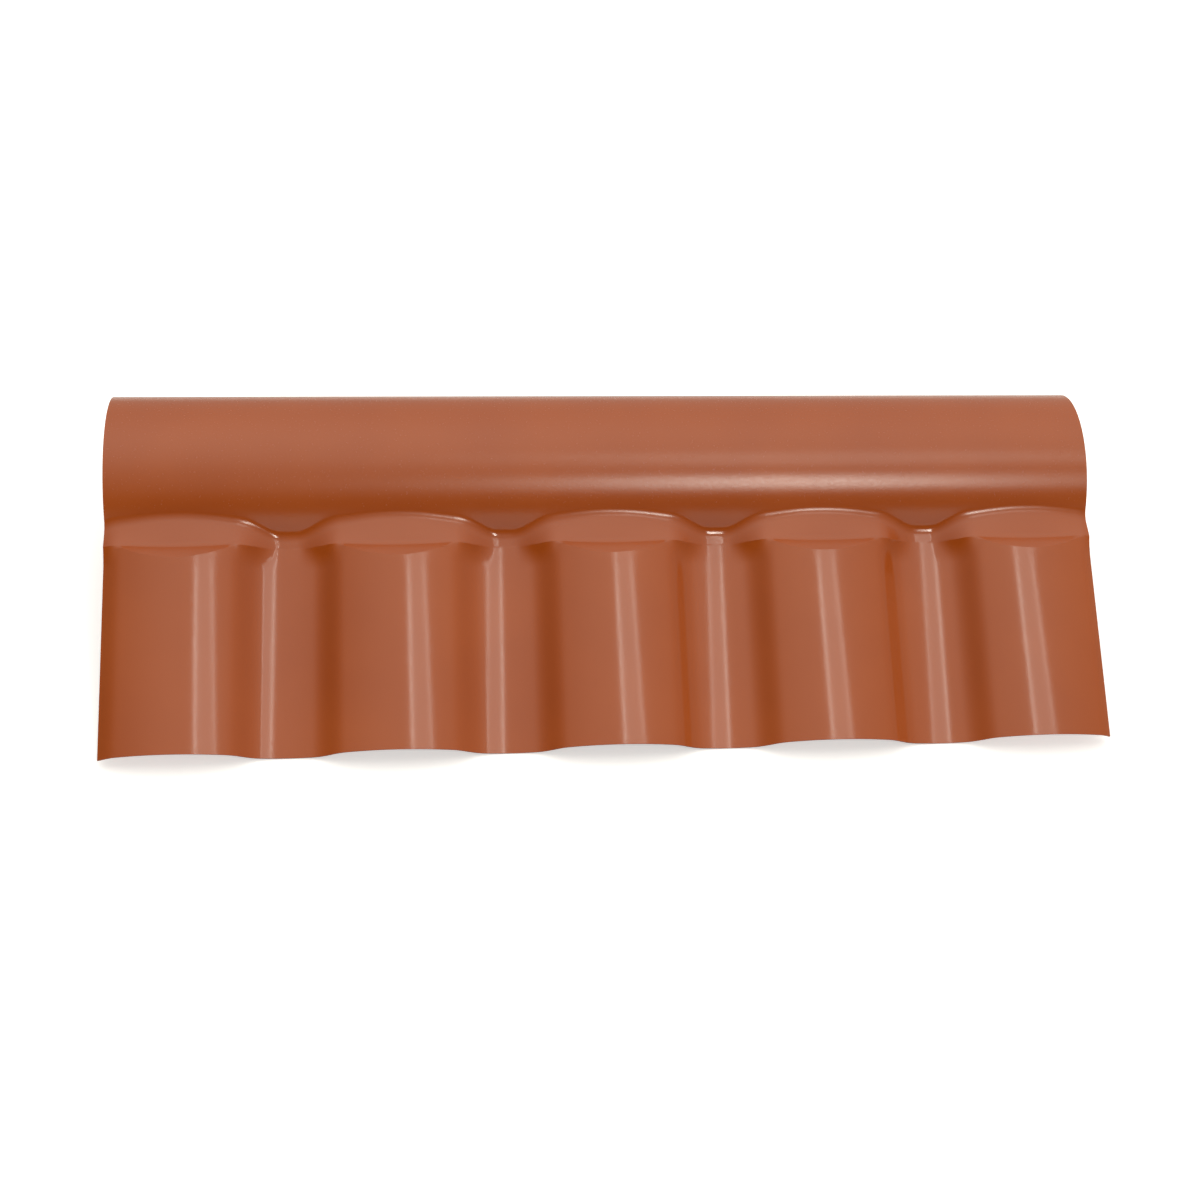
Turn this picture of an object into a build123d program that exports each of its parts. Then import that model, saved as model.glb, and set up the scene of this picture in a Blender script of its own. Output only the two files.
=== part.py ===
import os
from math import ceil, cos, radians, sin, sqrt, tan

from build123d import *

# PVC ridge cap: a half round roll along the ridge and a waved flange down each roof slope
os.makedirs("parts", exist_ok=True)

# Sheet and length
SHEET_THICKNESS = 2.0
CAP_LENGTH = 880.0

# Ridge roll
ROLL_RADIUS = 82.3

# Flanges, their mid plane meeting the side of the roll at this height above its axis
FLANGE_SLOPE = 36.3
FLANGE_START = 19.9
FLANGE_LENGTH = 210.0
JUNCTION_RADIUS = 8.0

# Barrel waves, square to the flange, the height from valley to crest
WAVE_PITCH = 190.2
FIRST_CREST = 61.8
WAVE_HEIGHT = 26.0
CROWN_WIDTH = 102.0
CROWN_DROP = 9.0
WAVE_SIDE_ANGLE = 40.3
VALLEY_RISE = 3.4
WAVE_BLEND = 14.0

# Low domes between the roll and the level ledges that end the barrels
LEDGE_HEIGHT = 8.7
DOME_DROP = 11.7
DOME_RADIUS = 300.0
DOME_BLEND = 9.0
DOME_REACH = 6.0

# Working space for the bodies that the cap is cut from
MARGIN = 20.0
DEPTH = 60.0
SLOPE = radians(FLANGE_SLOPE)
SIDE = tan(radians(WAVE_SIDE_ANGLE))
CREST_LEVEL = WAVE_HEIGHT / 2
VALLEY_LEVEL = -WAVE_HEIGHT / 2
FLANGE_DROP = FLANGE_LENGTH * sin(SLOPE) - (VALLEY_LEVEL - SHEET_THICKNESS) * cos(SLOPE)
AXIS_HEIGHT = FLANGE_DROP - FLANGE_START


def sagitta(radius, half_chord):
    return radius - sqrt(radius**2 - half_chord**2)


def arc_radius(half_chord, rise):
    return (half_chord**2 + rise**2) / (2 * rise)


# Half width of an arc where the straight side of the wave meets it
def arc_half_width(level, radius, side_height):
    rise = side_height - level + radius
    root = sqrt(radius**2 * (1 + SIDE**2) - rise**2)
    return (SIDE * rise - root) / (1 + SIDE**2)


# Corners of the wave outline at one distance from the crests
def wave_corners(section, distance):
    corners = []
    for corner in section.vertices():
        from_crest = abs((corner.X + WAVE_PITCH / 2) % WAVE_PITCH - WAVE_PITCH / 2)
        if corner.Y > VALLEY_LEVEL - DEPTH / 2 and abs(from_crest - distance) < 0.01:
            corners.append(corner)
    return corners


# Cross section of a run of waves as a closed face, set in by the sheet for the inside
def wave_face(crest, crown_radius, blend, inset):
    half_pitch = WAVE_PITCH / 2
    crown_level = CREST_LEVEL - CROWN_DROP
    foot_rise = (crown_level - VALLEY_LEVEL - VALLEY_RISE) / SIDE
    valley_radius = arc_radius(half_pitch - CROWN_WIDTH / 2 - foot_rise, VALLEY_RISE) + inset
    side_height = crown_level + SIDE * CROWN_WIDTH / 2 - inset * sqrt(1 + SIDE**2)
    crest_level = crest - inset
    valley_level = VALLEY_LEVEL - inset
    radius = crown_radius - inset
    edge = arc_half_width(crest_level, radius, side_height)
    edge_level = crest_level - sagitta(radius, edge)
    bed = arc_half_width(-valley_level, valley_radius, SIDE * half_pitch - side_height)
    foot = half_pitch - bed
    foot_level = valley_level + sagitta(valley_radius, bed)
    base = VALLEY_LEVEL - DEPTH - (MARGIN if inset else 0.0)
    count = ceil((CAP_LENGTH - FIRST_CREST) / WAVE_PITCH) + 1
    left = -1.5 * WAVE_PITCH
    right = (count - 0.5) * WAVE_PITCH
    with BuildSketch() as section:
        with BuildLine():
            with BuildLine(mode=Mode.PRIVATE) as half:
                middle = (edge / 2, crest_level - sagitta(radius, edge / 2))
                ThreePointArc((0, crest_level), middle, (edge, edge_level))
                Line((edge, edge_level), (foot, foot_level))
                middle = (half_pitch - bed / 2, valley_level + sagitta(valley_radius, bed / 2))
                ThreePointArc((foot, foot_level), middle, (half_pitch, valley_level))
                mirror(about=Plane.YZ)
            with Locations(*[(index * WAVE_PITCH, 0) for index in range(-1, count)]):
                add(half.line)
            Polyline((right, valley_level), (right, base), (left, base), (left, valley_level))
        make_face()
        fillet(wave_corners(section, edge), radius=blend - inset)
        fillet(wave_corners(section, foot), radius=WAVE_BLEND + inset)
    return section.sketch


# Edges where the flange runs into the side of the roll
def on_roll(edge, radius):
    for step in (0.0, 0.5, 1.0):
        point = edge @ step
        if point.Z < 1 or point.Y > 0 or abs(sqrt(point.Y**2 + point.Z**2) - radius) > 0.01:
            return False
    return abs((edge @ 0).X - (edge @ 1).X) > 0.01


# Solid body under the outside of the cap, or under its inside when set in by the sheet
def cap_body(inset):
    radius = ROLL_RADIUS - inset
    ledge = LEDGE_HEIGHT - inset
    deep = MARGIN if inset else 0.0
    slope_plane = Plane(
        origin=(FIRST_CREST, -ROLL_RADIUS, FLANGE_START),
        x_dir=(1, 0, 0),
        z_dir=(0, -cos(SLOPE), -sin(SLOPE)),
    )
    crown_radius = arc_radius(CROWN_WIDTH / 2, CROWN_DROP)
    with BuildPart() as barrels:
        with BuildSketch(slope_plane.offset(-MARGIN)):
            add(wave_face(CREST_LEVEL, crown_radius, WAVE_BLEND, inset))
        extrude(amount=FLANGE_LENGTH + MARGIN + deep)
        with Locations((CAP_LENGTH / 2, 0, ledge)):
            Box(2000, 1000, 400, align=(Align.CENTER, Align.CENTER, Align.MAX), mode=Mode.INTERSECT)
    with BuildPart() as domes:
        with BuildSketch(slope_plane.offset(-1.5 * MARGIN)):
            add(wave_face(CREST_LEVEL - DOME_DROP, DOME_RADIUS, DOME_BLEND, inset))
        extrude(amount=FLANGE_LENGTH)
        with BuildPart(mode=Mode.INTERSECT):
            with Locations((CAP_LENGTH / 2, 0, ledge)):
                Box(2000, 1000, 400, align=(Align.CENTER, Align.CENTER, Align.MIN))
            with Locations((CAP_LENGTH / 2, -ROLL_RADIUS - DOME_REACH + 200, 0)):
                Box(2000, 400, 400)
    with BuildPart() as body:
        with BuildSketch(Plane.YZ.offset(-WAVE_PITCH)):
            Circle(radius)
            Rectangle(2 * radius, radius, align=(Align.CENTER, Align.MAX), mode=Mode.SUBTRACT)
            Rectangle(2 * radius, MARGIN + deep, align=(Align.CENTER, Align.MAX))
        extrude(amount=CAP_LENGTH + 2 * WAVE_PITCH)
        add(barrels.part)
        add(domes.part)
        with Locations((CAP_LENGTH / 2, 0, 0)):
            Box(CAP_LENGTH + 2 * MARGIN, 1000, 1000, mode=Mode.INTERSECT)
        junction = [edge for edge in body.edges() if on_roll(edge, radius)]
        fillet(junction, radius=JUNCTION_RADIUS + inset)
        mirror(about=Plane.XZ)
    return body.part


with BuildPart() as ridge_cap:
    with Locations((-CAP_LENGTH / 2, 0, AXIS_HEIGHT)):
        add(cap_body(0.0))
        add(cap_body(SHEET_THICKNESS), mode=Mode.SUBTRACT)
    Box(CAP_LENGTH, 1000, 1000, mode=Mode.INTERSECT)

ridge_cap.part.label = "ridge_cap"
export_step(ridge_cap.part, "parts/ridge_cap.step")
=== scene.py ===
import math

import bpy
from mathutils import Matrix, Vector


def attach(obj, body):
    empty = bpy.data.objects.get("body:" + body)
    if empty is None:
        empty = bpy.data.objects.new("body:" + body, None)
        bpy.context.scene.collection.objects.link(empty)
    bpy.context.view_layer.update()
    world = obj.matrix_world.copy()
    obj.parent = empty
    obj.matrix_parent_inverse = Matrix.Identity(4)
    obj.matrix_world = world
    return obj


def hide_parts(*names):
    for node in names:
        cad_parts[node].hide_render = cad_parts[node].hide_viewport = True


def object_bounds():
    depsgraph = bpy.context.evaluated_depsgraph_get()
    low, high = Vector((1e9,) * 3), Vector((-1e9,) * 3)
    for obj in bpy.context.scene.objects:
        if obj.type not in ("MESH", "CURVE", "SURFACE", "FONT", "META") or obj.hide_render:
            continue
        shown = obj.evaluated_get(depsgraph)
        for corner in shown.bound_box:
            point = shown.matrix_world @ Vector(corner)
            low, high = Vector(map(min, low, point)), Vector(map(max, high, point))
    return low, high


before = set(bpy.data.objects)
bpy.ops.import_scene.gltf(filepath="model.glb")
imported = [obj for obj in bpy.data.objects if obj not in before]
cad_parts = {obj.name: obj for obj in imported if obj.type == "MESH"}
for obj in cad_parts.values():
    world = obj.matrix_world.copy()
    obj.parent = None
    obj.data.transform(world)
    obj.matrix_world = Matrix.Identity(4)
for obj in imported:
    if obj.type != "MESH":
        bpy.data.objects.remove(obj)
CAD_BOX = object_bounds()
SHEET_NODE = "ridge_cap"
SHEET_PIECE = "formed_sheet"

bl_info = {
    "name": "Ridge Cap Looks",
    "version": (1, 0, 0),
    "blender": (4, 5, 0),
    "location": "3D View > Sidebar > Ridge Cap",
    "description": "Forms the PVC ridge cap, gives it its finish and sets up a plain studio",
    "category": "Object",
}

MM = 0.001
WHITE = (1.0, 1.0, 1.0, 1.0)

# Sockets of a Mix node that share a name: two number inputs, two colour inputs, the colour output
MIX_NUMBER_A, MIX_NUMBER_B = 2, 3
MIX_COLOUR_A, MIX_COLOUR_B = 6, 7
MIX_COLOUR = 2


# ---------------------------------------------------------------- colour and node helpers


def linear(hex_colour):
    """An sRGB hex value as a linear colour with full alpha."""
    channels = []
    for place in (1, 3, 5):
        value = int(hex_colour[place:place + 2], 16) / 255
        channels.append(value / 12.92 if value <= 0.04045 else ((value + 0.055) / 1.055) ** 2.4)
    return (*channels, 1.0)


def add_node(tree, kind, settings=None, links=None):
    """Adds one node, with its properties and inputs set and its inputs linked."""
    node = tree.nodes.new(kind)
    for name, value in (settings or {}).items():
        if isinstance(name, int) or name in node.inputs:
            node.inputs[name].default_value = value
        else:
            setattr(node, name, value)
    for name, source in (links or {}).items():
        tree.links.new(source, node.inputs[name])
    return node


def new_material(name):
    """An empty node material with its output node."""
    material = bpy.data.materials.new(name)
    material.use_nodes = True
    material.node_tree.nodes.clear()
    output = material.node_tree.nodes.new("ShaderNodeOutputMaterial")
    return material, material.node_tree, output


def deselect_all():
    bpy.ops.object.select_all(action="DESELECT")
    bpy.context.view_layer.objects.active = None


# ---------------------------------------------------------------- the formed sheet


class SheetShape(bpy.types.PropertyGroup):
    thickness: bpy.props.FloatProperty(
        name="Thickness", description="Thickness of the sheet",
        default=2.0 * MM, unit="LENGTH")
    roll_radius: bpy.props.FloatProperty(
        name="Roll radius", description="Outer radius of the roll",
        default=82.3 * MM, unit="LENGTH")
    slope: bpy.props.FloatProperty(
        name="Slope", description="Slope of the flanges",
        default=math.radians(36.3), subtype="ANGLE")
    flange_start: bpy.props.FloatProperty(
        name="Flange start",
        description="Height above the roll's axis where the flange's mid plane meets its side",
        default=19.9 * MM, unit="LENGTH")
    flange_length: bpy.props.FloatProperty(
        name="Flange length", description="Length of a flange down the slope",
        default=210 * MM, unit="LENGTH")
    pitch: bpy.props.FloatProperty(
        name="Pitch", description="Distance from crest to crest",
        default=190.2 * MM, unit="LENGTH")
    first_crest: bpy.props.FloatProperty(
        name="First crest", description="Distance of the first crest from the left end",
        default=61.8 * MM, unit="LENGTH")
    wave_height: bpy.props.FloatProperty(
        name="Wave height", description="Height of a crest over a valley",
        default=26 * MM, unit="LENGTH")
    crown_width: bpy.props.FloatProperty(
        name="Crown width", description="Width of a barrel's rounded crown",
        default=102 * MM, unit="LENGTH")
    crown_drop: bpy.props.FloatProperty(
        name="Crown drop", description="Fall of the crown from its crest to its edges",
        default=9 * MM, unit="LENGTH")
    side_angle: bpy.props.FloatProperty(
        name="Side angle", description="Steepness of a barrel's sides",
        default=math.radians(40.3), subtype="ANGLE")
    valley_rise: bpy.props.FloatProperty(
        name="Valley rise", description="Rise of a valley's bed from its middle to its edges",
        default=3.4 * MM, unit="LENGTH")
    ledge_height: bpy.props.FloatProperty(
        name="Ledge height", description="Height of a ledge's outer edge above the roll's axis",
        default=8.7 * MM, unit="LENGTH")
    ledge_fall: bpy.props.FloatProperty(
        name="Ledge fall", description="Slight fall of the ledges to the outside",
        default=math.radians(3.8), subtype="ANGLE")
    ledge_foot: bpy.props.FloatProperty(
        name="Ledge foot",
        description="Distance down the slope where a hood runs out onto its ledge",
        default=22.9 * MM, unit="LENGTH")
    hood_width: bpy.props.FloatProperty(
        name="Hood width", description="Width over which a hood's foot stays level",
        default=100 * MM, unit="LENGTH")
    hood_side: bpy.props.FloatProperty(
        name="Hood side", description="Width of a hood's sloping side at its foot",
        default=38 * MM, unit="LENGTH")
    hood_rise: bpy.props.FloatProperty(
        name="Hood rise", description="Rise of a hood over the valleys where it leaves the roll",
        default=13.8 * MM, unit="LENGTH")
    hood_fade: bpy.props.FloatProperty(
        name="Hood fade",
        description="Distance below the ledge's foot where a hood's shoulders die out",
        default=20 * MM, unit="LENGTH")
    junction_radius: bpy.props.FloatProperty(
        name="Junction radius",
        description="Radius of the hollow between the roll and a hood's crest",
        default=12 * MM, unit="LENGTH")
    valley_junction_radius: bpy.props.FloatProperty(
        name="Valley junction radius",
        description="Radius of the hollow between the roll and a valley",
        default=16 * MM, unit="LENGTH")


# Rows of points down each half of the section, one group for each stretch, and columns of them
# along the ridge
ROLL_ROWS, HOLLOW_ROWS, HOOD_ROWS = 24, 10, 8
LEDGE_ROWS, SHOULDER_ROWS, FLANGE_ROWS = 5, 11, 4
HALF_ROWS = ROLL_ROWS + HOLLOW_ROWS + HOOD_ROWS + LEDGE_ROWS + SHOULDER_ROWS + FLANGE_ROWS
COLUMNS = 338

# Corners of the wave, rounded over these differences in height
CROWN_ROUNDING = 2.4 * MM
BED_ROUNDING = 4.0 * MM
BED_REACH = 1.25  # the arc of a valley's bed is followed to this many times its half width

HOOD_START = -4.5 * MM  # down the slope, so inside the roll, where the line of a hood begins
HOOD_ARCH = (0.66, 0.47, -0.13)  # 1 over a crest and almost 0 over a valley
LEAST_LEDGE = 0.8 * MM  # the stretches of ledge and shoulder are never shorter than these
LEAST_SHOULDER = 5 * MM

OVERHANG = 4 * MM  # the sheet is formed this much longer at each end and cut to length
CUT_THRESHOLD = 0.001 * MM
SMOOTH_ANGLE = math.radians(30)  # the cut edges are sharper than this and stay crisp


def sagitta(radius, half_chord):
    """How far an arc has fallen below its crest at half a chord from it."""
    return radius - math.sqrt(radius ** 2 - half_chord ** 2)


def arc_radius(half_chord, rise):
    """Radius of the arc with this half chord and rise."""
    return (half_chord ** 2 + rise ** 2) / (2 * rise)


def rounded_min(a, b, rounding):
    """The smaller of two heights, with the corner between them rounded off."""
    overlap = max(rounding - abs(a - b), 0) / rounding
    return min(a, b) - overlap ** 2 * rounding / 4


def rounded_max(a, b, rounding):
    return -rounded_min(-a, -b, rounding)


def eased(value):
    """Runs from 0 to 1 with level ends."""
    value = min(max(value, 0.0), 1.0)
    return value * value * (3 - 2 * value)


def spaced(start, end, steps):
    """Even steps from start towards end, which is left out."""
    return [start + (end - start) * step / steps for step in range(steps)]


def on_circle(angle, radius):
    return Vector((math.cos(angle), math.sin(angle))) * radius


def barrel_level(shape, from_crest):
    """Height of the barrel wave over the flange's mid plane."""
    half_pitch = shape.pitch / 2
    crest = shape.wave_height / 2
    side_slope = math.tan(shape.side_angle)
    edge_level = crest - shape.crown_drop
    crown = crest - sagitta(arc_radius(shape.crown_width / 2, shape.crown_drop), from_crest)
    side = edge_level - side_slope * (from_crest - shape.crown_width / 2)
    foot = shape.crown_width / 2 + (edge_level + crest - shape.valley_rise) / side_slope
    bed_radius = arc_radius(half_pitch - foot, shape.valley_rise)
    bed_reach = min(half_pitch - from_crest, BED_REACH * (half_pitch - foot))
    bed = -crest + sagitta(bed_radius, bed_reach)
    return rounded_max(rounded_min(crown, side, CROWN_ROUNDING), bed, BED_ROUNDING)


def ledge_level(shape, down):
    """Height of the ledge plane over the flange's mid plane at a distance down the slope, set by
    the ledge's edge, which lies on the crest at the ledge's height."""
    crest = shape.wave_height / 2
    drop = shape.flange_start - shape.ledge_height + crest * math.cos(shape.slope)
    edge = drop / math.sin(shape.slope)
    return crest - (edge - down) * math.tan(shape.slope - shape.ledge_fall)


def section(shape, from_left):
    """Outer profile of one half of the cap, square to the ridge, as distances out from the ridge
    and heights above the roll's axis, from the top of the roll to the flange's lower edge."""
    half_pitch = shape.pitch / 2
    from_crest = abs((from_left - shape.first_crest + half_pitch) % shape.pitch - half_pitch)
    sin_slope, cos_slope = math.sin(shape.slope), math.cos(shape.slope)
    radius = shape.roll_radius
    valley = -shape.wave_height / 2
    barrel = barrel_level(shape, from_crest)

    def place(down, level):
        return Vector((radius + down * cos_slope + level * sin_slope,
                       shape.flange_start - down * sin_slope + level * cos_slope))

    # A hood runs from an arch on the roll to a level line at the foot of its ledge
    turn = math.cos(2 * math.pi * from_crest / shape.pitch)
    mean, swing, sharpness = HOOD_ARCH
    arch = mean + swing * turn + sharpness * turn * turn
    top_level = valley + shape.hood_rise * arch
    foot_level = ledge_level(shape, shape.ledge_foot)
    spread = eased((from_crest - shape.hood_width / 2) / shape.hood_side)
    foot_level += (valley - foot_level) * spread
    hood_top = place(HOOD_START, top_level)
    hood_foot = place(shape.ledge_foot, foot_level)

    # The hollow between roll and hood touches both
    widening = shape.junction_radius - shape.valley_junction_radius
    hollow = shape.valley_junction_radius + widening * arch
    along = (hood_foot - hood_top).normalized()
    outward = Vector((-along.y, along.x))
    start = hood_top + outward * hollow
    reach = start.dot(along)
    run = -reach + math.sqrt(reach ** 2 - start.length_squared + (radius + hollow) ** 2)
    centre = start + along * run
    roll_end = math.atan2(centre.y, centre.x)
    hollow_end = math.atan2(outward.y, outward.x)
    leave = centre - outward * hollow

    points = [on_circle(angle, radius) for angle in spaced(math.pi / 2, roll_end, ROLL_ROWS)]
    for angle in spaced(roll_end, hollow_end, HOLLOW_ROWS):
        points.append(centre - on_circle(angle, hollow))
    for share in spaced(0, 1, HOOD_ROWS):
        points.append(leave.lerp(hood_foot, share))

    # Below the foot the ledge runs out to the barrel, and the hood's shoulders sink into the
    # valleys
    edge = (barrel - ledge_level(shape, 0)) / math.tan(shape.slope - shape.ledge_fall)
    edge = max(edge, shape.ledge_foot + LEAST_LEDGE)
    fade_end = max(shape.ledge_foot + shape.hood_fade, edge + LEAST_SHOULDER)
    downs = spaced(shape.ledge_foot, edge, LEDGE_ROWS)
    downs += spaced(edge, fade_end, SHOULDER_ROWS)
    downs += spaced(fade_end, shape.flange_length, FLANGE_ROWS)
    downs.append(shape.flange_length)
    for down in downs:
        left = max(1 - (down - shape.ledge_foot) / shape.hood_fade, 0)
        shoulder = max(foot_level - barrel, 0) * left ** 2
        points.append(place(down, min(ledge_level(shape, down), barrel + shoulder)))
    return points


def place_points(sheet, shape):
    """Moves each point of the flat blank to its place on the outer face of the cap."""
    low, high = CAD_BOX
    length = high[0] - low[0]
    axis_height = high[2] - shape.roll_radius
    drawn = {}
    for point in sheet.data.vertices:
        column = round((point.co.x + 0.5) * COLUMNS)
        row = round((point.co.y + 0.5) * 2 * HALF_ROWS) - HALF_ROWS
        from_left = (length + 2 * OVERHANG) * column / COLUMNS - OVERHANG
        if column not in drawn:
            drawn[column] = section(shape, from_left)
        out, height = drawn[column][abs(row)]
        point.co = (low[0] + from_left, out if row > 0 else -out, axis_height + height)
    sheet.data.update()


def cut_end(end, way):
    """Cuts the sheet off square at one end, in edit mode, and closes the sawn face."""
    bpy.ops.mesh.select_all(action="SELECT")
    bpy.ops.mesh.bisect(plane_co=(end, 0, 0), plane_no=(way, 0, 0), use_fill=False,
                        clear_inner=False, clear_outer=True, threshold=CUT_THRESHOLD)
    bpy.ops.mesh.select_all(action="DESELECT")
    bpy.ops.mesh.select_non_manifold()
    bpy.ops.mesh.edge_face_add()


class RIDGECAP_OT_form(bpy.types.Operator):
    """Forms the sheet of the ridge cap, with its soft hoods, and cuts it to length"""
    bl_idname = "ridgecap.form"
    bl_label = "Form the Sheet"

    def execute(self, context):
        shape = context.scene.ridge_cap_shape

        # A flat blank first, one row of points for each line along the ridge. No edit operator
        # gives a barrel, a hood and a ledge that run into each other, so the points are placed
        # by the drawing of the cross section.
        deselect_all()
        bpy.ops.mesh.primitive_grid_add(
            x_subdivisions=COLUMNS, y_subdivisions=2 * HALF_ROWS, size=1.0, location=(0, 0, 0))
        sheet = context.active_object
        sheet.name = SHEET_PIECE
        sheet.data.name = SHEET_PIECE
        if len(sheet.data.vertices) != (COLUMNS + 1) * (2 * HALF_ROWS + 1):
            raise RuntimeError("the blank has another number of points than the drawing")
        place_points(sheet, shape)

        # Wall thickness inwards, then both ends cut square
        bpy.ops.object.modifier_add(type="SOLIDIFY")
        wall = sheet.modifiers[-1]
        wall.thickness = shape.thickness
        wall.offset = -1.0
        wall.use_even_offset = True
        bpy.ops.object.modifier_apply(modifier=wall.name)
        bpy.ops.object.mode_set(mode="EDIT")
        bpy.ops.mesh.select_mode(type="EDGE")
        cut_end(CAD_BOX[0][0], -1)
        cut_end(CAD_BOX[1][0], 1)
        bpy.ops.mesh.select_all(action="DESELECT")
        bpy.ops.mesh.select_non_manifold()
        bpy.ops.object.mode_set(mode="OBJECT")
        if any(edge.select for edge in sheet.data.edges):
            raise RuntimeError("the formed sheet isn't closed")
        bpy.ops.object.shade_smooth_by_angle(angle=SMOOTH_ANGLE)

        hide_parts(SHEET_NODE)
        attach(sheet, "root")
        return {"FINISHED"}


# ---------------------------------------------------------------- the sheet's finish


class SheetLooks(bpy.types.PropertyGroup):
    light_hex: bpy.props.StringProperty(
        name="Light tone", description="Lighter tone of the terracotta, as an sRGB hex value",
        default="#AA501C")
    dark_hex: bpy.props.StringProperty(
        name="Dark tone", description="Darker tone of the terracotta, as an sRGB hex value",
        default="#A44B18")
    cut_hex: bpy.props.StringProperty(
        name="Cut tone", description="Tone of the sawn and trimmed edges, as an sRGB hex value",
        default="#9E4A20")
    cut_dullness: bpy.props.FloatProperty(
        name="Cut dullness", description="Added to the roughness on the cut edges",
        default=0.35, min=0.0, max=0.8)
    roughness: bpy.props.FloatProperty(
        name="Roughness", description="Roughness of the pressed flanges",
        default=0.12, min=0.05, max=1.0)
    roll_roughness: bpy.props.FloatProperty(
        name="Roll roughness", description="Roughness of the drawn roll",
        default=0.25, min=0.05, max=1.0)
    pressed_up_to: bpy.props.FloatProperty(
        name="Pressed up to",
        description="Height up to which the sheet has the pressed, glossier face",
        default=112 * MM, unit="LENGTH")
    drawn_from: bpy.props.FloatProperty(
        name="Drawn from", description="Height from which the sheet has the drawn, duller face",
        default=150 * MM, unit="LENGTH")
    cloud_size: bpy.props.FloatProperty(
        name="Cloud size", description="Width of the pigment clouds",
        default=90 * MM, unit="LENGTH")
    grain_size: bpy.props.FloatProperty(
        name="Grain size", description="Width of the mould grain as drawn",
        default=2.2 * MM, unit="LENGTH")
    grain_depth: bpy.props.FloatProperty(
        name="Grain depth", description="Height of the mould grain",
        default=0.05 * MM, unit="LENGTH", precision=5)
    swell_size: bpy.props.FloatProperty(
        name="Swell size", description="Width of the soft swells in the sheet",
        default=35 * MM, unit="LENGTH")
    swell_depth: bpy.props.FloatProperty(
        name="Swell depth", description="Height of the soft swells in the sheet",
        default=0.03 * MM, unit="LENGTH", precision=5)


PVC_IOR = 1.53
PRESSED_GRAIN = 0.12  # share of the grain's height that the press leaves on the flanges
GRAIN_GLOSS = 0.03  # roughness rises and falls by this much with the grain
CUT_SKIN = 0.02 * MM  # depth under the cut planes that still counts as cut
NOISE_LOW, NOISE_HIGH = 0.3, 0.7  # nearly all of a noise texture lies between these


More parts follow.
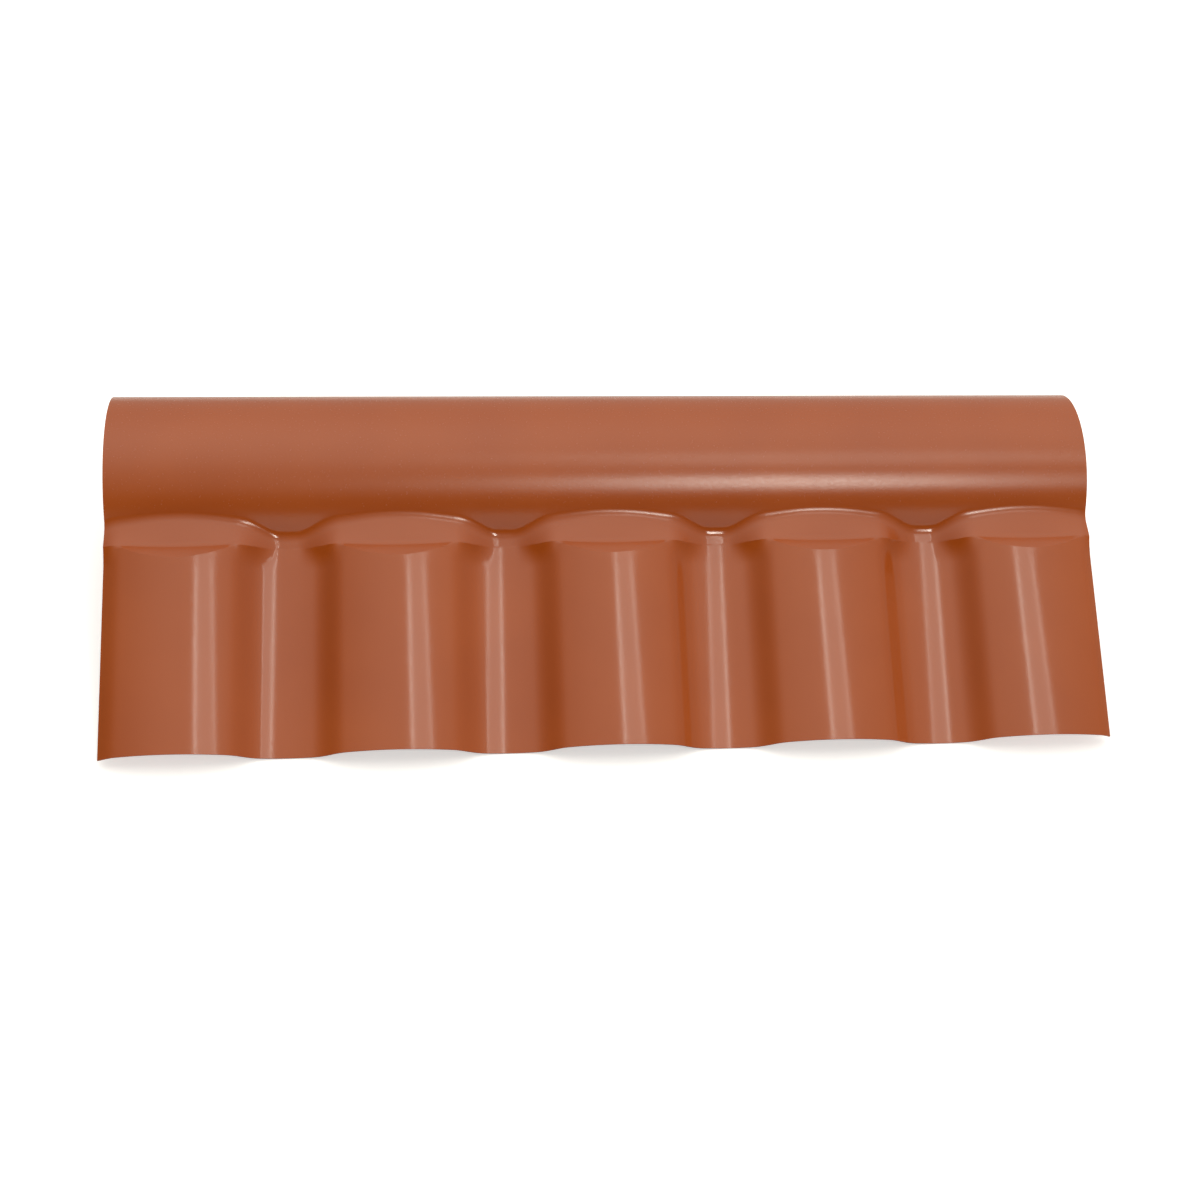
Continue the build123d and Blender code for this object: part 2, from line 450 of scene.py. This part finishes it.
def terracotta_pvc(looks, shape):
    """Formed PVC sheet with a satin cap layer in terracotta, finely grained by the mould.
    The eye sees a warm orange brown that is even from afar, soft narrow highlights broken by the
    grain, and sawn edges that are duller and a little darker than the face."""
    end, top = CAD_BOX[1][0], CAD_BOX[1][2]
    end_plane = end - CUT_SKIN
    seat = top - shape.roll_radius + shape.flange_start
    edge_plane = (shape.roll_radius * math.cos(shape.slope) + shape.flange_length
                  - seat * math.sin(shape.slope) - CUT_SKIN)
    material, tree, output = new_material("terracotta_pvc_satin")
    place = add_node(tree, "ShaderNodeTexCoord").outputs["Object"]

    # Pigment clouds: the compound is mixed unevenly over a hand's breadth
    clouds = add_node(tree, "ShaderNodeTexNoise", {
        "Scale": 1 / looks.cloud_size, "Detail": 2.0, "Roughness": 0.45,
    }, {"Vector": place})
    cloud_tone = add_node(tree, "ShaderNodeMapRange", {
        "From Min": NOISE_LOW, "From Max": NOISE_HIGH, "To Min": 0.0, "To Max": 1.0,
    }, {"Value": clouds.outputs["Fac"]})
    face = add_node(tree, "ShaderNodeMix", {
        "data_type": "RGBA",
        MIX_COLOUR_A: linear(looks.dark_hex),
        MIX_COLOUR_B: linear(looks.light_hex),
    }, {"Factor": cloud_tone.outputs["Result"]})

    # Mould grain: real grain is about 0.3 mm, drawn about seven times as coarse so that it shows
    grain = add_node(tree, "ShaderNodeTexNoise", {
        "Scale": 1 / looks.grain_size, "Detail": 3.0, "Roughness": 0.6,
    }, {"Vector": place})
    # Orange peel: the warm sheet relaxes over the mould in soft swells a few centimetres apart
    swell = add_node(tree, "ShaderNodeTexNoise", {
        "Scale": 1 / looks.swell_size, "Detail": 1.0, "Roughness": 0.4,
    }, {"Vector": place})
    swell_bump = add_node(tree, "ShaderNodeBump", {
        "Strength": 1.0, "Distance": looks.swell_depth,
    }, {"Height": swell.outputs["Fac"]})
    # The press smooths the flanges, and the drawn roll above them keeps a duller, coarser face
    spot = add_node(tree, "ShaderNodeSeparateXYZ", {}, {"Vector": place})
    drawn = add_node(tree, "ShaderNodeMapRange", {
        "interpolation_type": "SMOOTHSTEP",
        "From Min": looks.pressed_up_to,
        "From Max": looks.drawn_from,
    }, {"Value": spot.outputs["Z"]})
    grain_strength = add_node(tree, "ShaderNodeMapRange", {
        "To Min": PRESSED_GRAIN, "To Max": 1.0,
    }, {"Value": drawn.outputs["Result"]})
    grain_bump = add_node(tree, "ShaderNodeBump", {"Distance": looks.grain_depth}, {
        "Strength": grain_strength.outputs["Result"],
        "Height": grain.outputs["Fac"],
        "Normal": swell_bump.outputs["Normal"],
    })

    # Sawn ends and trimmed lower edges: duller and darker than the moulded faces
    along = add_node(tree, "ShaderNodeMath", {"operation": "ABSOLUTE"}, {0: spot.outputs["X"]})
    sawn = add_node(tree, "ShaderNodeMath", {
        "operation": "GREATER_THAN", 1: end_plane,
    }, {0: along.outputs[0]})
    out = add_node(tree, "ShaderNodeMath", {"operation": "ABSOLUTE"}, {0: spot.outputs["Y"]})
    fall = add_node(tree, "ShaderNodeMath", {
        "operation": "MULTIPLY", 1: -math.sin(shape.slope),
    }, {0: spot.outputs["Z"]})
    down = add_node(tree, "ShaderNodeMath", {
        "operation": "MULTIPLY_ADD", 1: math.cos(shape.slope),
    }, {0: out.outputs[0], 2: fall.outputs[0]})
    trimmed = add_node(tree, "ShaderNodeMath", {
        "operation": "GREATER_THAN", 1: edge_plane,
    }, {0: down.outputs[0]})
    cut = add_node(tree, "ShaderNodeMath", {
        "operation": "MAXIMUM",
    }, {0: sawn.outputs[0], 1: trimmed.outputs[0]})
    surface = add_node(tree, "ShaderNodeMix", {
        "data_type": "RGBA", MIX_COLOUR_B: linear(looks.cut_hex),
    }, {"Factor": cut.outputs[0], MIX_COLOUR_A: face.outputs[MIX_COLOUR]})

    # Gloss: duller on the drawn roll and on the cut edges, and broken a little by the grain
    satin = add_node(tree, "ShaderNodeMapRange", {
        "To Min": looks.roughness, "To Max": looks.roll_roughness,
    }, {"Value": drawn.outputs["Result"]})
    grain_gloss = add_node(tree, "ShaderNodeMapRange", {
        "From Min": NOISE_LOW, "From Max": NOISE_HIGH,
        "To Min": -GRAIN_GLOSS, "To Max": GRAIN_GLOSS,
    }, {"Value": grain.outputs["Fac"]})
    face_gloss = add_node(tree, "ShaderNodeMath", {
        "operation": "ADD",
    }, {0: grain_gloss.outputs["Result"], 1: satin.outputs["Result"]})
    gloss = add_node(tree, "ShaderNodeMath", {
        "operation": "MULTIPLY_ADD", 1: looks.cut_dullness,
    }, {0: cut.outputs[0], 2: face_gloss.outputs[0]})

    shader = add_node(tree, "ShaderNodeBsdfPrincipled", {"IOR": PVC_IOR, "Metallic": 0.0}, {
        "Base Color": surface.outputs[MIX_COLOUR],
        "Roughness": gloss.outputs[0],
        "Normal": grain_bump.outputs["Normal"],
    })
    tree.links.new(shader.outputs["BSDF"], output.inputs["Surface"])
    return material


class RIDGECAP_OT_sheet(bpy.types.Operator):
    """Gives the one formed sheet of the ridge cap its satin terracotta PVC finish"""
    bl_idname = "ridgecap.sheet"
    bl_label = "Finish the Sheet"

    def execute(self, context):
        deselect_all()
        sheet = bpy.data.objects.get(SHEET_PIECE)
        if sheet is None:
            raise RuntimeError("form the sheet before it gets its finish")
        sheet.data.materials.clear()
        looks, shape = context.scene.ridge_cap_sheet, context.scene.ridge_cap_shape
        sheet.data.materials.append(terracotta_pvc(looks, shape))
        return {"FINISHED"}


# ---------------------------------------------------------------- the studio


class StudioLooks(bpy.types.PropertyGroup):
    camera_place: bpy.props.FloatVectorProperty(
        name="Camera place", description="Where the camera stands",
        default=(-0.16524, -1.59214, 1.18058), subtype="TRANSLATION", unit="LENGTH")
    camera_turn: bpy.props.FloatVectorProperty(
        name="Camera turn", description="How the camera is turned",
        default=(math.radians(53.2442), math.radians(-3.5971), math.radians(-6.1568)),
        subtype="EULER")
    camera_lens: bpy.props.FloatProperty(
        name="Lens", description="Focal length on a 36 mm wide sensor",
        default=61.80, min=10.0)
    camera_shift: bpy.props.FloatProperty(
        name="Shift", description="Sideways lens shift as a share of the frame",
        default=-0.0667, precision=4)
    surround_mean: bpy.props.FloatProperty(
        name="Surroundings", description="Mean strength of the white light from all round",
        default=0.15, min=0.0)
    surround_tilt: bpy.props.FloatVectorProperty(
        name="Surroundings tilt",
        description="How much brighter the surroundings are towards +X, +Y and up",
        default=(0.16, 0.32, 0.55), subtype="XYZ")
    overhead: bpy.props.FloatProperty(
        name="Overhead glow",
        description="Strength added straight overhead, where the tent is brightest",
        default=1.0, min=0.0)
    box_power: bpy.props.FloatProperty(
        name="Soft box", description="Power of the overhead soft box",
        default=44.0, min=0.0, unit="POWER")
    near_tube_power: bpy.props.FloatProperty(
        name="Near tube", description="Power of the tube along the soft box's near edge",
        default=20.0, min=0.0, unit="POWER")
    far_tube_power: bpy.props.FloatProperty(
        name="Far tube", description="Power of the tube along the soft box's far edge",
        default=11.0, min=0.0, unit="POWER")
    front_power: bpy.props.FloatProperty(
        name="Front light", description="Power of the low front light",
        default=260.0, min=0.0, unit="POWER")
    floor_glow: bpy.props.FloatProperty(
        name="Floor glow",
        description="Added where the camera sees the floor, to make it white but keep the shadow",
        default=0.5, min=0.0, max=1.0)
    floor_hex: bpy.props.StringProperty(
        name="Floor", description="Colour of the floor, as an sRGB hex value",
        default="#F4F4F4")


LAMP_COLOUR = (1.0, 0.975, 0.88)
LAMP_TARGET = (0.0, -0.08, 0.1)
FLOOR_SIZE = 24.0
OVERHEAD_FOCUS = 4.0  # the higher, the smaller the bright patch overhead
SENSOR_WIDTH = 36.0
VIEW_DEPTH = 100.0


def area_light(name, azimuth, elevation, distance, size, power):
    """A rectangular lamp that faces the cap. Azimuth and elevation are in degrees, azimuth
    measured from the near side towards +X, and distance and size are in metres."""
    turn, rise = math.radians(azimuth), math.radians(elevation)
    towards = (math.sin(turn), -math.cos(turn) * math.cos(rise), math.cos(turn) * math.sin(rise))
    data = bpy.data.lights.new(name, "AREA")
    data.shape = "RECTANGLE"
    data.size, data.size_y = size
    data.energy = power
    data.color = LAMP_COLOUR
    lamp = bpy.data.objects.new(name, data)
    bpy.context.collection.objects.link(lamp)
    lamp.location = [start + distance * step for start, step in zip(LAMP_TARGET, towards)]
    lamp.rotation_mode = "QUATERNION"
    lamp.rotation_quaternion = Vector(towards).to_track_quat("Z", "Y")


def seen_directly(tree):
    """1 for camera and transmitted rays. It is 0 for mirrored ones, so that the sheen on the
    sheet shows the tent of light."""
    path = add_node(tree, "ShaderNodeLightPath")
    either = add_node(tree, "ShaderNodeMath", {"operation": "MAXIMUM"}, {
        0: path.outputs["Is Camera Ray"], 1: path.outputs["Is Transmission Ray"],
    })
    return either.outputs[0]


def floor_paint(studio):
    """Matt white paint, lifted to white where it is seen directly."""
    material, tree, output = new_material("studio_floor_paint")
    matt = add_node(tree, "ShaderNodeBsdfDiffuse", {"Color": linear(studio.floor_hex)})
    glow_strength = add_node(tree, "ShaderNodeMath", {
        "operation": "MULTIPLY", 1: studio.floor_glow,
    }, {0: seen_directly(tree)})
    glow = add_node(tree, "ShaderNodeEmission", {"Color": WHITE}, {
        "Strength": glow_strength.outputs[0],
    })
    both = add_node(tree, "ShaderNodeAddShader", {}, {0: matt.outputs[0], 1: glow.outputs[0]})
    tree.links.new(both.outputs[0], output.inputs["Surface"])
    return material


def tent_of_light(studio):
    """A pale tent, brightest overhead and behind, plain white where it is seen directly."""
    world = bpy.data.worlds.new("studio_surroundings")
    world.use_nodes = True
    tree = world.node_tree
    tree.nodes.clear()
    direction = add_node(tree, "ShaderNodeTexCoord").outputs["Generated"]
    direct = seen_directly(tree)

    # Mean and tilt, and never below black
    lean = add_node(tree, "ShaderNodeVectorMath", {
        "operation": "DOT_PRODUCT", 1: studio.surround_tilt,
    }, {0: direction})
    tilted = add_node(tree, "ShaderNodeMath", {
        "operation": "ADD", 1: studio.surround_mean,
    }, {0: lean.outputs["Value"]})
    sides = add_node(tree, "ShaderNodeMath", {
        "operation": "MAXIMUM", 1: 0.0,
    }, {0: tilted.outputs[0]})

    # The bright patch overhead
    way = add_node(tree, "ShaderNodeSeparateXYZ", {}, {"Vector": direction})
    above = add_node(tree, "ShaderNodeMath", {
        "operation": "MAXIMUM", 1: 0.0,
    }, {0: way.outputs["Z"]})
    peak = add_node(tree, "ShaderNodeMath", {
        "operation": "POWER", 1: OVERHEAD_FOCUS,
    }, {0: above.outputs[0]})
    tent = add_node(tree, "ShaderNodeMath", {
        "operation": "MULTIPLY_ADD", 1: studio.overhead,
    }, {0: peak.outputs[0], 2: sides.outputs[0]})

    strength = add_node(tree, "ShaderNodeMix", {
        "data_type": "FLOAT", MIX_NUMBER_B: 1.0,
    }, {"Factor": direct, MIX_NUMBER_A: tent.outputs[0]})
    colour = add_node(tree, "ShaderNodeMix", {
        "data_type": "RGBA", MIX_COLOUR_A: (*LAMP_COLOUR, 1.0), MIX_COLOUR_B: WHITE,
    }, {"Factor": direct})
    background = add_node(tree, "ShaderNodeBackground", {}, {
        "Strength": strength.outputs[0], "Color": colour.outputs[MIX_COLOUR],
    })
    add_node(tree, "ShaderNodeOutputWorld", {}, {"Surface": background.outputs[0]})
    return world


class RIDGECAP_OT_studio(bpy.types.Operator):
    """Sets up the pale floor, the soft lamps, the plain surroundings and the camera"""
    bl_idname = "ridgecap.studio"
    bl_label = "Set Up the Studio"

    def execute(self, context):
        studio = context.scene.ridge_cap_studio
        deselect_all()
        bpy.ops.mesh.primitive_plane_add(size=FLOOR_SIZE, location=(0, 0, 0))
        floor = context.active_object
        floor.name = "studio_floor"
        floor.data.materials.append(floor_paint(studio))
        context.scene.world = tent_of_light(studio)

        # Lamps, far off, so that every barrel mirrors them alike
        area_light("soft_box", 13.5, 66, 12, (2.67, 3.5), studio.box_power)
        area_light("near_tube", 7.3, 66, 11.9, (0.3, 3.5), studio.near_tube_power)
        area_light("far_tube", 20.0, 67, 11.9, (0.3, 3.5), studio.far_tube_power)
        area_light("front_light", 11, 36, 12, (1.3, 2.9), studio.front_power)

        # Camera
        data = bpy.data.cameras.new("studio_camera")
        data.lens = studio.camera_lens
        data.sensor_width = SENSOR_WIDTH
        data.shift_x = studio.camera_shift
        data.clip_end = VIEW_DEPTH
        camera = bpy.data.objects.new("studio_camera", data)
        context.collection.objects.link(camera)
        camera.location = studio.camera_place
        camera.rotation_euler = studio.camera_turn
        context.scene.camera = camera
        context.scene.view_settings.view_transform = "Standard"
        return {"FINISHED"}


# ---------------------------------------------------------------- panel and run


class RIDGECAP_PT_panel(bpy.types.Panel):
    bl_idname = "RIDGECAP_PT_panel"
    bl_label = "Ridge Cap"
    bl_space_type = "VIEW_3D"
    bl_region_type = "UI"
    bl_category = "Ridge Cap"

    def draw(self, context):
        for group, operator in (
            (context.scene.ridge_cap_shape, RIDGECAP_OT_form.bl_idname),
            (context.scene.ridge_cap_sheet, RIDGECAP_OT_sheet.bl_idname),
            (context.scene.ridge_cap_studio, RIDGECAP_OT_studio.bl_idname),
        ):
            column = self.layout.column()
            for name in group.__annotations__:
                column.prop(group, name)
            column.operator(operator)


CLASSES = (SheetShape, SheetLooks, StudioLooks,
           RIDGECAP_OT_form, RIDGECAP_OT_sheet, RIDGECAP_OT_studio, RIDGECAP_PT_panel)


def register():
    for each in CLASSES:
        bpy.utils.register_class(each)
    bpy.types.Scene.ridge_cap_shape = bpy.props.PointerProperty(type=SheetShape)
    bpy.types.Scene.ridge_cap_sheet = bpy.props.PointerProperty(type=SheetLooks)
    bpy.types.Scene.ridge_cap_studio = bpy.props.PointerProperty(type=StudioLooks)


def unregister():
    del bpy.types.Scene.ridge_cap_studio
    del bpy.types.Scene.ridge_cap_sheet
    del bpy.types.Scene.ridge_cap_shape
    for each in reversed(CLASSES):
        bpy.utils.unregister_class(each)


def main():
    register()
    bpy.ops.ridgecap.form()
    bpy.ops.ridgecap.sheet()
    bpy.ops.ridgecap.studio()


if __name__ == "__main__":
    main()
